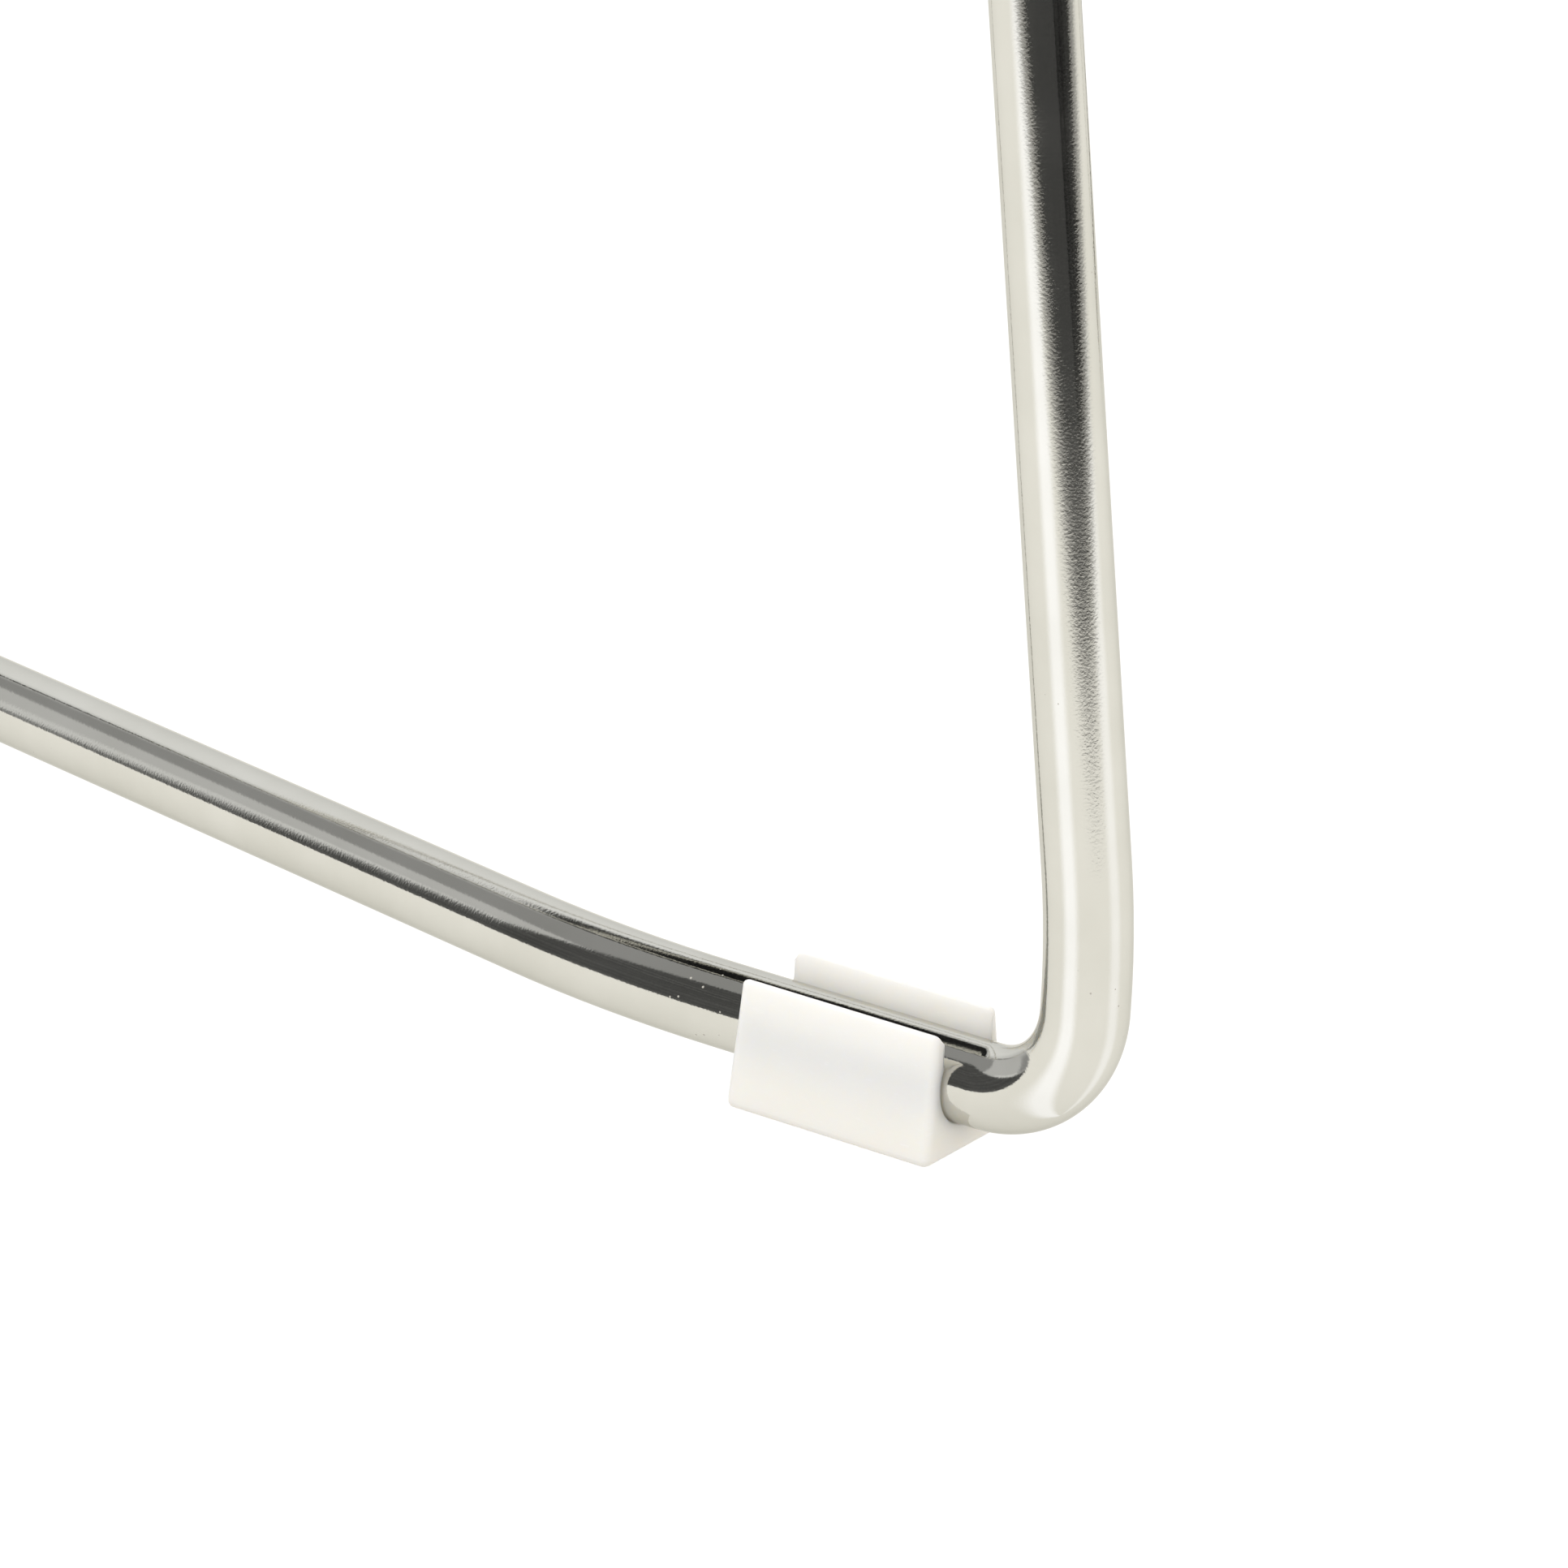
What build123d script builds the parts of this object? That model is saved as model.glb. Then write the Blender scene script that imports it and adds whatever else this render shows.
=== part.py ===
from build123d import *
import math
import os

# Valet stand, millimetres. Origin on the floor under the middle, +X right, -Y front, +Z up.
# Two mirrored side frames of bent round bar carry straps, cross rods, a tray,
# a swinging trouser rail and a lift-off hanger.

# ---- side frame ----
ROD_RADIUS = 5.0
ROD_AXIS_HEIGHT = 8.42
CORNER_HALF_WIDTH = 217.0
CORNER_HALF_DEPTH = 201.0
TOP_HALF_WIDTH = 177.1
TOP_HALF_DEPTH = 33.7
FRAME_HEIGHT = 950.0
WELD_HEIGHT = 300.0
FOOT_RUN_ANGLE = 10.65
FOOT_RUN_LENGTH = 64.0
ANKLE_LENGTH = 20.6
ANKLE_LEAN_ALONG = 0.85
ANKLE_LEAN_INWARD = 4.32
CORNER_RADIUS = 11.75
ANKLE_RADIUS = 106.7
KICK_RADIUS = 170.0
TOP_RADIUS = 22.0
WELD_GAP = 0.05

# ---- nylon foot clip ----
CLIP_START = 14.67
CLIP_LENGTH = 27.75
CLIP_BOTTOM_WIDTH = 15.6
CLIP_TOP_WIDTH = 11.85
CLIP_RISE = 6.7
CLIP_LIP_HEIGHT = 2.6
CLIP_MOUTH_WIDTH = 10.0
CLIP_FIT = 0.1
CLIP_EDGE = 0.7

# ---- straps that tie the legs of one side ----
STRAP_THICKNESS = 5.0
STRAP_HEIGHT = 20.0
UPPER_LEVEL = 860.0
TRAY_LEVEL = 588.0
SHOE_LEVEL = 230.0

# ---- cross rods and their screws ----
UPPER_ROD_RADIUS = 6.0
TRAY_ROD_RADIUS = 5.0
TRAY_ROD_OFFSET = 60.0
SHOE_ROD_RADIUS = 5.0
SHOE_ROD_OFFSETS = (-135.0, -45.0, 45.0, 135.0)
SCREW_RADIUS = 2.45
THREAD_FIT = 0.05
STRAP_HOLE_FIT = 0.3
SCREW_DEPTH = 16.0
SCREW_HEAD_RADIUS = 4.75
SCREW_HEAD_HEIGHT = 2.75
SCREW_SOCKET_WIDTH = 3.0
SCREW_SOCKET_DEPTH = 1.5
SEAT_GAP = 0.02
ROD_END_CHAMFER = 0.5
SCREW_TIP_GAP = 1.0
SCREW_HEAD_ROUND = 1.9

# ---- trouser rail ----
ARM_FACE = 164.0
ARM_THICKNESS = 4.0
ARM_WIDTH = 16.0
ARM_DROP = 90.0
ARM_EYE_RADIUS = 13.0
ARM_FOOT_RADIUS = 9.0
BUSH_RUNNING_FIT = 0.15
BUSH_WALL = 1.8
BUSH_FLANGE = 1.5
BUSH_FLANGE_RADIUS = 11.0
BUSH_PRESS_FIT = 0.05
COLLAR_RADIUS = 11.0
COLLAR_WIDTH = 6.0
COLLAR_PLAY = 0.5
GRUB_RADIUS = 1.5
GRUB_RECESS = 1.0
TROUSER_BAR_RADIUS = 6.0
SLEEVE_RADIUS = 8.0
SLEEVE_END_GAP = 22.0
SLEEVE_FIT = 0.05

# ---- tray ----
TRAY_WIDTH = 358.0
TRAY_DEPTH = 180.0
TRAY_HEIGHT = 28.0
TRAY_WALL = 8.0
TRAY_FLOOR = 6.0
TRAY_RUNNING_FIT = 0.3
TRAY_CORNER = 6.0
TRAY_LINING = 2.0
LINING_GAP = 0.5
TRAY_TRAVEL = 50.0
PULL_WIDTH = 90.0
PULL_DEPTH = 9.0
STOP_LENGTH = 200.0
STOP_WIDTH = 10.0
STOP_HEIGHT = 8.0
STOP_PLAY = 0.5
WOOD_SCREW_RADIUS = 1.25
WOOD_SCREW_HEAD = 2.8
WOOD_SCREW_HEAD_HEIGHT = 1.6
WOOD_SCREW_BITE = 4.5
WOOD_SCREW_SPACING = 150.0

# ---- hanger and its pins ----
PIN_RADIUS = 4.0
PIN_LENGTH = 36.0
PIN_FIT = 0.2
SLEEVE_WALL = 1.8
SLEEVE_RECESS = 3.4
HANGER_HALF_WIDTH = 222.0
HANGER_PAD_RISE = 7.8
HANGER_UNDER_RISE = 32.0
HANGER_THICKNESS = 48.0
HANGER_END_THICKNESS = 27.0
HANGER_MIDDLE_REAR = 26.0
HANGER_MIDDLE_FRONT = -4.0
HANGER_TIP_REAR = 12.0
HANGER_TIP_FRONT = -26.0
HANGER_TIP_ROUND = 14.0
HANGER_EDGE = 4.5


# ---- side frame geometry, left side; front is -Y ----
def foot_axes():
    """Direction of the front foot run on the floor, and the inward direction beside it."""
    angle = math.radians(FOOT_RUN_ANGLE)
    along = Vector(-math.sin(angle), math.cos(angle), 0)
    inward = Vector(math.cos(angle), math.sin(angle), 0)
    return along, inward


def front_vertices():
    """Corners of the front half of the left loop: kick, corner, ankle, top."""
    along, inward = foot_axes()
    corner = Vector(-CORNER_HALF_WIDTH, -CORNER_HALF_DEPTH, ROD_AXIS_HEIGHT)
    kick = corner + along * FOOT_RUN_LENGTH
    lean = along * math.tan(math.radians(ANKLE_LEAN_ALONG))
    lean += inward * math.tan(math.radians(ANKLE_LEAN_INWARD))
    ankle = corner + (Vector(0, 0, 1) + lean).normalized() * ANKLE_LENGTH
    top = Vector(-TOP_HALF_WIDTH, -TOP_HALF_DEPTH, FRAME_HEIGHT)
    return kick, corner, ankle, top


def rear(point):
    return Vector(point.X, -point.Y, point.Z)


def leg_point(height):
    """Centre of the front left leg at a height above the ankle."""
    _, _, ankle, top = front_vertices()
    return ankle + (top - ankle) * ((height - ankle.Z) / (top.Z - ankle.Z))


def bent_rod(points, radii):
    path = FilletPolyline(*points, radius=radii)
    section = Plane(origin=path @ 0, z_dir=path % 0) * Circle(ROD_RADIUS)
    return sweep(section, path=path)


def lower_frame():
    kick, corner, ankle, _ = front_vertices()
    weld = leg_point(WELD_HEIGHT)
    front = [weld, ankle, corner, kick]
    bends = [ANKLE_RADIUS, CORNER_RADIUS, KICK_RADIUS]
    return bent_rod(front + [rear(p) for p in reversed(front)], bends + bends[::-1])


def upper_frame():
    top = front_vertices()[3]
    weld = leg_point(WELD_HEIGHT)
    return bent_rod([weld, top, rear(top), rear(weld)], [TOP_RADIUS, TOP_RADIUS])


def foot_clip():
    """U-shaped glide on the front left foot run; its bore narrows to a lip that holds the bar."""
    along, inward = foot_axes()
    corner = front_vertices()[1]
    plane = Plane(origin=corner + along * CLIP_START, x_dir=-inward, z_dir=along)
    half_bottom = CLIP_BOTTOM_WIDTH / 2
    half_top = CLIP_TOP_WIDTH / 2
    outer = Polygon((-half_bottom, -ROD_AXIS_HEIGHT), (half_bottom, -ROD_AXIS_HEIGHT),
                    (half_top, CLIP_RISE), (-half_top, CLIP_RISE), align=None)
    bore = ROD_RADIUS + CLIP_FIT
    lip = math.sqrt(bore ** 2 - CLIP_LIP_HEIGHT ** 2)
    mouth = CLIP_MOUTH_WIDTH / 2
    slot = Polygon((-lip, 0), (lip, 0), (lip, CLIP_LIP_HEIGHT), (mouth, CLIP_RISE),
                   (-mouth, CLIP_RISE), (-lip, CLIP_LIP_HEIGHT), align=None)
    clip = extrude(plane * (outer - Circle(bore) - slot), CLIP_LENGTH)
    sole = clip.edges().group_by(Axis.Z)[0]
    return fillet(sole, CLIP_EDGE)


# ---- straps, rods and screws ----
def rod_along_x(radius, length, y, z):
    return Pos(0, y, z) * Rot(0, 90, 0) * Cylinder(radius, length)


def leg_cutter(height):
    """Short piece of the front left leg, grown by the weld gap, that copes a strap's end."""
    reach = STRAP_HEIGHT
    low = leg_point(height - reach)
    high = leg_point(height + reach)
    plane = Plane(origin=low, z_dir=high - low)
    return extrude(plane * Circle(ROD_RADIUS + WELD_GAP), (high - low).length)


def strap_face(level):
    """Distance of a strap's inner face from the middle plane."""
    return -leg_point(level).X - STRAP_THICKNESS / 2


def strap(level, rod_offsets):
    leg = leg_point(level)
    body = Pos(leg.X, 0, level) * Box(STRAP_THICKNESS, -2 * leg.Y, STRAP_HEIGHT)
    cutter = leg_cutter(level)
    body -= cutter
    body -= mirror(cutter, Plane.XZ)
    for y in rod_offsets:
        body -= Pos(leg.X, 0, 0) * rod_along_x(SCREW_RADIUS + STRAP_HOLE_FIT,
                                               3 * STRAP_THICKNESS, y, level)
    return max(body.solids(), key=lambda solid: solid.volume)


def cross_rod(radius, level, y):
    """Rod that butts between the two straps of a level, drilled and tapped at both ends."""
    half = strap_face(level) - SEAT_GAP
    rod = rod_along_x(radius, 2 * half, y, level)
    drill = SCREW_RADIUS + THREAD_FIT
    for side in (-1, 1):
        rod -= Pos(side * half, 0, 0) * rod_along_x(drill, 2 * SCREW_DEPTH, y, level)
    rims = rod.edges().filter_by(GeomType.CIRCLE).group_by(SortBy.RADIUS)[-1]
    return chamfer(rims, ROD_END_CHAMFER)


def button_screw(under_head, depth, y, z):
    """Button-head screw along X; the head's seat is at x = -under_head, on the left side."""
    shank_length = depth - SCREW_TIP_GAP
    shank = Pos(shank_length / 2, 0, 0) * Rot(0, 90, 0) * Cylinder(SCREW_RADIUS, shank_length)
    head = Pos(-SCREW_HEAD_HEIGHT / 2, 0, 0) * Rot(0, 90, 0)
    head *= Cylinder(SCREW_HEAD_RADIUS, SCREW_HEAD_HEIGHT)
    rim = head.edges().filter_by(GeomType.CIRCLE).sort_by(Axis.X)[0]
    head = fillet(rim, SCREW_HEAD_ROUND)
    socket = Plane(origin=(-SCREW_HEAD_HEIGHT, 0, 0), z_dir=(1, 0, 0))
    socket *= RegularPolygon(SCREW_SOCKET_WIDTH / 2, 6, major_radius=False)
    screw = shank + head - extrude(socket, SCREW_SOCKET_DEPTH)
    return Pos(-under_head - SEAT_GAP, y, z) * screw


def screw_group(under_head, depth, places):
    """Screws on both sides at each (y, z) place, as separate solids."""
    left = [button_screw(under_head, depth, y, z) for y, z in places]
    right = [mirror(screw, Plane.YZ) for screw in left]
    return Compound(children=[s.solid() for s in left + right])


def rod_screws(level, rod_offsets):
    outer_face = strap_face(level) + STRAP_THICKNESS
    return screw_group(outer_face, STRAP_THICKNESS + SCREW_DEPTH, [(y, level) for y in rod_offsets])


# ---- trouser rail ----
def arm_bore():
    return UPPER_ROD_RADIUS + BUSH_RUNNING_FIT + BUSH_WALL + BUSH_PRESS_FIT


def rail_arm():
    """Left arm plate: eye round the upper crossbar, foot at the trouser bar."""
    foot = (0, -ARM_DROP)
    outline = Circle(ARM_EYE_RADIUS) + Pos(*foot) * Circle(ARM_FOOT_RADIUS)
    outline += Pos(0, -ARM_DROP / 2) * Rectangle(ARM_WIDTH, ARM_DROP)
    outline -= Circle(arm_bore())
    outline -= Pos(*foot) * Circle(SCREW_RADIUS + STRAP_HOLE_FIT)
    face = Plane(origin=(-ARM_FACE, 0, UPPER_LEVEL), x_dir=(0, -1, 0), z_dir=(-1, 0, 0))
    return extrude(face * outline, ARM_THICKNESS)


def rail_bush():
    """Flanged nylon bush in the left arm's eye."""
    inner = UPPER_ROD_RADIUS + BUSH_RUNNING_FIT
    outer = inner + BUSH_WALL
    sleeve = Pos(-ARM_FACE - ARM_THICKNESS / 2, 0, 0) * rod_along_x(
        outer, ARM_THICKNESS, 0, UPPER_LEVEL)
    flange = Pos(-ARM_FACE + SEAT_GAP + BUSH_FLANGE / 2, 0, 0) * rod_along_x(
        BUSH_FLANGE_RADIUS, BUSH_FLANGE, 0, UPPER_LEVEL)
    neck = Pos(-ARM_FACE, 0, 0) * rod_along_x(outer, 2 * SEAT_GAP, 0, UPPER_LEVEL)
    return sleeve + flange + neck - rod_along_x(inner, 2 * CORNER_HALF_WIDTH, 0, UPPER_LEVEL)


def collar_centre():
    return ARM_FACE - SEAT_GAP - BUSH_FLANGE - COLLAR_PLAY - COLLAR_WIDTH / 2


def rail_collar():
    """Set collar that stops the left arm sliding inwards, with a tapped hole on top."""
    ring = rod_along_x(COLLAR_RADIUS, COLLAR_WIDTH, 0, UPPER_LEVEL)
    ring -= rod_along_x(UPPER_ROD_RADIUS + THREAD_FIT, 2 * COLLAR_WIDTH, 0, UPPER_LEVEL)
    hole = Cylinder(GRUB_RADIUS + THREAD_FIT, COLLAR_RADIUS)
    ring -= Pos(0, 0, UPPER_LEVEL + UPPER_ROD_RADIUS + COLLAR_RADIUS / 2) * hole
    return Pos(-collar_centre(), 0, 0) * ring


def collar_screws():
    length = COLLAR_RADIUS - UPPER_ROD_RADIUS - GRUB_RECESS
    seat = UPPER_LEVEL + UPPER_ROD_RADIUS + SEAT_GAP
    screws = [Pos(x, 0, seat + length / 2) * Cylinder(GRUB_RADIUS, length)
              for x in (-collar_centre(), collar_centre())]
    return Compound(children=[s.solid() for s in screws])


def trouser_bar():
    half = ARM_FACE - SEAT_GAP
    height = UPPER_LEVEL - ARM_DROP
    bar = rod_along_x(TROUSER_BAR_RADIUS, 2 * half, 0, height)
    for x in (-half, half):
        bar -= Pos(x, 0, 0) * rod_along_x(SCREW_RADIUS + THREAD_FIT, 2 * SCREW_DEPTH, 0, height)
    return bar


def trouser_bar_sleeve():
    height = UPPER_LEVEL - ARM_DROP
    length = 2 * (ARM_FACE - SLEEVE_END_GAP)
    tube = rod_along_x(SLEEVE_RADIUS, length, 0, height)
    return tube - rod_along_x(TROUSER_BAR_RADIUS + SLEEVE_FIT, 2 * length, 0, height)


def trouser_bar_screws():
    return screw_group(ARM_FACE + ARM_THICKNESS, ARM_THICKNESS + SCREW_DEPTH,
                       [(0, UPPER_LEVEL - ARM_DROP)])


# ---- tray; its underside rides on the two tray rods ----
def tray_base():
    return TRAY_LEVEL + TRAY_ROD_RADIUS + TRAY_RUNNING_FIT


def tray_end(side):
    """Front (-1) or rear (+1) wall, full width, rounded at its outer corners."""
    y = side * (TRAY_DEPTH - TRAY_WALL) / 2
    wall = Pos(0, y, tray_base() + TRAY_HEIGHT / 2) * Box(TRAY_WIDTH, TRAY_WALL, TRAY_HEIGHT)
    outer = wall.edges().filter_by(Axis.Z).group_by(Axis.Y)[0 if side < 0 else -1]
    return fillet(outer, TRAY_CORNER)


def tray_front():
    """Front wall with a shallow finger scoop in its top edge."""
    scoop_radius = (PULL_WIDTH ** 2 / 4 + PULL_DEPTH ** 2) / (2 * PULL_DEPTH)
    centre = tray_base() + TRAY_HEIGHT - PULL_DEPTH + scoop_radius
    scoop = Pos(0, -TRAY_DEPTH / 2, centre) * Rot(90, 0, 0) * Cylinder(scoop_radius, 4 * TRAY_WALL)
    return tray_end(-1) - scoop


def tray_side(side):
    x = side * (TRAY_WIDTH - TRAY_WALL) / 2
    length = TRAY_DEPTH - 2 * TRAY_WALL
    return Pos(x, 0, tray_base() + TRAY_HEIGHT / 2) * Box(TRAY_WALL, length, TRAY_HEIGHT)


def stop_places():
    """Y of the stops beside the front tray rod: one blocks the way back, one the way out."""
    reach = TRAY_ROD_RADIUS + STOP_PLAY + STOP_WIDTH / 2
    return -TRAY_ROD_OFFSET - reach, -TRAY_ROD_OFFSET + reach + TRAY_TRAVEL


def wood_screw_places():
    return [(x, y) for y in stop_places() for x in (-WOOD_SCREW_SPACING / 2, WOOD_SCREW_SPACING / 2)]


def wood_screw(x, y, grow=0.0):
    """Wood screw up through a stop into the tray's floor; grow turns it into its own hole."""
    bottom = tray_base() - STOP_HEIGHT
    length = STOP_HEIGHT + WOOD_SCREW_BITE
    shank = Pos(x, y, bottom + length / 2) * Cylinder(WOOD_SCREW_RADIUS + grow, length)
    head_height = WOOD_SCREW_HEAD_HEIGHT
    head = Pos(x, y, bottom + head_height / 2) * Cone(
        WOOD_SCREW_HEAD + grow, WOOD_SCREW_RADIUS + grow, head_height)
    return shank + head


def tray_floor():
    size = (TRAY_WIDTH - 2 * TRAY_WALL, TRAY_DEPTH - 2 * TRAY_WALL)
    floor = Pos(0, 0, tray_base() + TRAY_FLOOR / 2) * Box(*size, TRAY_FLOOR)
    for x, y in wood_screw_places():
        floor -= wood_screw(x, y, THREAD_FIT)
    return floor


def tray_lining():
    width = TRAY_WIDTH - 2 * TRAY_WALL - 2 * LINING_GAP
    depth = TRAY_DEPTH - 2 * TRAY_WALL - 2 * LINING_GAP
    bottom = tray_base() + TRAY_FLOOR + SEAT_GAP
    return Pos(0, 0, bottom + TRAY_LINING / 2) * Box(width, depth, TRAY_LINING)


def tray_stop(y):
    top = tray_base() - SEAT_GAP
    height = STOP_HEIGHT - SEAT_GAP
    stop = Pos(0, y, top - height / 2) * Box(STOP_LENGTH, STOP_WIDTH, height)
    for x, place in wood_screw_places():
        if place == y:
            stop -= wood_screw(x, y, THREAD_FIT)
    return stop


def tray_stop_screws():
    return Compound(children=[wood_screw(x, y).solid() for x, y in wood_screw_places()])


# ---- hanger ----
def pin_top():
    return FRAME_HEIGHT + PIN_LENGTH


def hanger_pin():
    """Upright pin welded on the left top run."""
    pin = Pos(-TOP_HALF_WIDTH, 0, FRAME_HEIGHT + PIN_LENGTH / 2) * Cylinder(PIN_RADIUS, PIN_LENGTH)
    pin = fillet(pin.edges().group_by(Axis.Z)[-1], PIN_RADIUS / 2)
    run = Pos(-TOP_HALF_WIDTH, 0, FRAME_HEIGHT) * Rot(90, 0, 0)
    run *= Cylinder(ROD_RADIUS + WELD_GAP, 4 * ROD_RADIUS)
    return max((pin - run).solids(), key=lambda solid: solid.center().Z)


def hanger_bore_radius():
    return PIN_RADIUS + PIN_FIT + SLEEVE_WALL


def hanger_sleeve():
    """Brass sleeve in the hanger's left bore."""
    bottom = FRAME_HEIGHT + HANGER_PAD_RISE + SLEEVE_RECESS
    length = pin_top() - bottom
    sleeve = Cylinder(hanger_bore_radius() - THREAD_FIT, length)
    sleeve -= Cylinder(PIN_RADIUS + PIN_FIT, 2 * length)
    return Pos(-TOP_HALF_WIDTH, 0, bottom + length / 2) * sleeve


def hanger_body():
    """Arched wooden shoulder form: a side outline crossed with a plan outline."""
    pad = FRAME_HEIGHT + HANGER_PAD_RISE
    crown = pad + HANGER_UNDER_RISE
    arch_radius = (TOP_HALF_WIDTH ** 2 + HANGER_UNDER_RISE ** 2) / (2 * HANGER_UNDER_RISE)
    half = HANGER_HALF_WIDTH
    tip = crown - arch_radius + math.sqrt(arch_radius ** 2 - half ** 2)
    under = ThreePointArc((-half, tip), (0, crown), (half, tip))
    over_tip = tip + HANGER_END_THICKNESS
    over = ThreePointArc((half, over_tip), (0, crown + HANGER_THICKNESS), (-half, over_tip))
    ends = [Line((half, tip), (half, over_tip)), Line((-half, over_tip), (-half, tip))]
    side_view = make_face([under, ends[0], over, ends[1]])
    upright = Plane(origin=(0, 0, 0), x_dir=(1, 0, 0), z_dir=(0, -1, 0))
    body = extrude(upright * side_view, 4 * HANGER_MIDDLE_REAR, both=True)
    front = ThreePointArc((-half, HANGER_TIP_FRONT), (0, HANGER_MIDDLE_FRONT), (half, HANGER_TIP_FRONT))
    back = ThreePointArc((half, HANGER_TIP_REAR), (0, HANGER_MIDDLE_REAR), (-half, HANGER_TIP_REAR))
    tips = [Line((half, HANGER_TIP_FRONT), (half, HANGER_TIP_REAR)),
            Line((-half, HANGER_TIP_REAR), (-half, HANGER_TIP_FRONT))]
    plan = make_face([front, tips[0], back, tips[1]])
    plan = fillet(plan.vertices(), HANGER_TIP_ROUND)
    return body & extrude(plan, crown + 2 * HANGER_THICKNESS)


def drilled_hanger():
    body = hanger_body()
    body = fillet(body.edges(), HANGER_EDGE)
    depth = pin_top() + PIN_FIT
    for x in (-TOP_HALF_WIDTH, TOP_HALF_WIDTH):
        body -= Pos(x, 0, depth / 2) * Cylinder(hanger_bore_radius(), depth)
    return body


# ---- write the nodes ----
def both_sides(name, left):
    return {f"{name}_left": left, f"{name}_right": mirror(left, Plane.YZ)}


def foot_clips():
    clips = {}
    for name, piece in both_sides("foot_clip", foot_clip()).items():
        clips[f"{name}_front"] = piece
        clips[f"{name}_rear"] = mirror(piece, Plane.XZ)
    return clips


def frame_nodes():
    tray_offsets = (-TRAY_ROD_OFFSET, TRAY_ROD_OFFSET)
    nodes = both_sides("lower_frame", lower_frame())
    nodes |= both_sides("upper_frame", upper_frame())
    nodes |= foot_clips()
    nodes |= both_sides("upper_strap", strap(UPPER_LEVEL, (0,)))
    nodes |= both_sides("tray_strap", strap(TRAY_LEVEL, tray_offsets))
    nodes |= both_sides("shoe_strap", strap(SHOE_LEVEL, SHOE_ROD_OFFSETS))
    nodes["upper_crossbar"] = cross_rod(UPPER_ROD_RADIUS, UPPER_LEVEL, 0)
    nodes["tray_rod_front"] = cross_rod(TRAY_ROD_RADIUS, TRAY_LEVEL, tray_offsets[0])
    nodes["tray_rod_rear"] = cross_rod(TRAY_ROD_RADIUS, TRAY_LEVEL, tray_offsets[1])
    for number, y in enumerate(SHOE_ROD_OFFSETS, start=1):
        nodes[f"shoe_rod_{number}"] = cross_rod(SHOE_ROD_RADIUS, SHOE_LEVEL, y)
    nodes["upper_crossbar_screws"] = rod_screws(UPPER_LEVEL, (0,))
    nodes["tray_rod_screws"] = rod_screws(TRAY_LEVEL, tray_offsets)
    nodes["shoe_rod_screws"] = rod_screws(SHOE_LEVEL, SHOE_ROD_OFFSETS)
    nodes |= both_sides("hanger_pin", hanger_pin())
    nodes |= both_sides("rail_collar", rail_collar())
    nodes["collar_grub_screws"] = collar_screws()
    return nodes


def moving_nodes():
    nodes = both_sides("rail_arm", rail_arm())
    nodes |= both_sides("rail_bush", rail_bush())
    nodes["trouser_bar"] = trouser_bar()
    nodes["trouser_bar_sleeve"] = trouser_bar_sleeve()
    nodes["trouser_bar_screws"] = trouser_bar_screws()
    nodes["tray_front"] = tray_front()
    nodes["tray_rear"] = tray_end(1)
    nodes["tray_side_left"] = tray_side(-1)
    nodes["tray_side_right"] = tray_side(1)
    nodes["tray_floor"] = tray_floor()
    nodes["tray_lining"] = tray_lining()
    nodes["tray_stop_front"], nodes["tray_stop_rear"] = [tray_stop(y) for y in stop_places()]
    nodes["tray_stop_screws"] = tray_stop_screws()
    nodes["hanger_body"] = drilled_hanger()
    nodes |= both_sides("hanger_sleeve", hanger_sleeve())
    return nodes


os.makedirs("parts", exist_ok=True)
for node_name, node in (frame_nodes() | moving_nodes()).items():
    export_step(node, f"parts/{node_name}.step")
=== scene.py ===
import math

import bmesh
import bpy
from mathutils import Matrix, Vector, noise


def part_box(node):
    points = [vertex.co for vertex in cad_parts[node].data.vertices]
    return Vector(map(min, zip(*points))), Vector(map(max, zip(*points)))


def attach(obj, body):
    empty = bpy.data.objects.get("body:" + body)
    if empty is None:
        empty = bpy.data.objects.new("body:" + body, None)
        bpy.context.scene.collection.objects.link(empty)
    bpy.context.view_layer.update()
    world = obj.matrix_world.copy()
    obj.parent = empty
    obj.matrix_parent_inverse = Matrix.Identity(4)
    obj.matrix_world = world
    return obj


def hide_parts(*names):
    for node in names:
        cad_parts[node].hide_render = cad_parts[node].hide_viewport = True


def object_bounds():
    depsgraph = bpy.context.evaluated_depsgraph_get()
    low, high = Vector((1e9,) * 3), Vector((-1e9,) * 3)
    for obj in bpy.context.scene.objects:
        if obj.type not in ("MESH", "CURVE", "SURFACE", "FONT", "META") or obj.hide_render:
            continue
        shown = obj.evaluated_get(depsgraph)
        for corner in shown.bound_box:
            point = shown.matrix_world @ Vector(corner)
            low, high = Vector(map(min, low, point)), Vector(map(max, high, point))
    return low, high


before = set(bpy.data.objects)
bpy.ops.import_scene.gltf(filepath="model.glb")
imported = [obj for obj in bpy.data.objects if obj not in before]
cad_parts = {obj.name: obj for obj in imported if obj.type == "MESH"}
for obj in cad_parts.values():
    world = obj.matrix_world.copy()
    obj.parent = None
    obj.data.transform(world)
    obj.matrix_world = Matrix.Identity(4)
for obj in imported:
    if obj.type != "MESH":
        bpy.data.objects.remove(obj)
cad_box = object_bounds()

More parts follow.
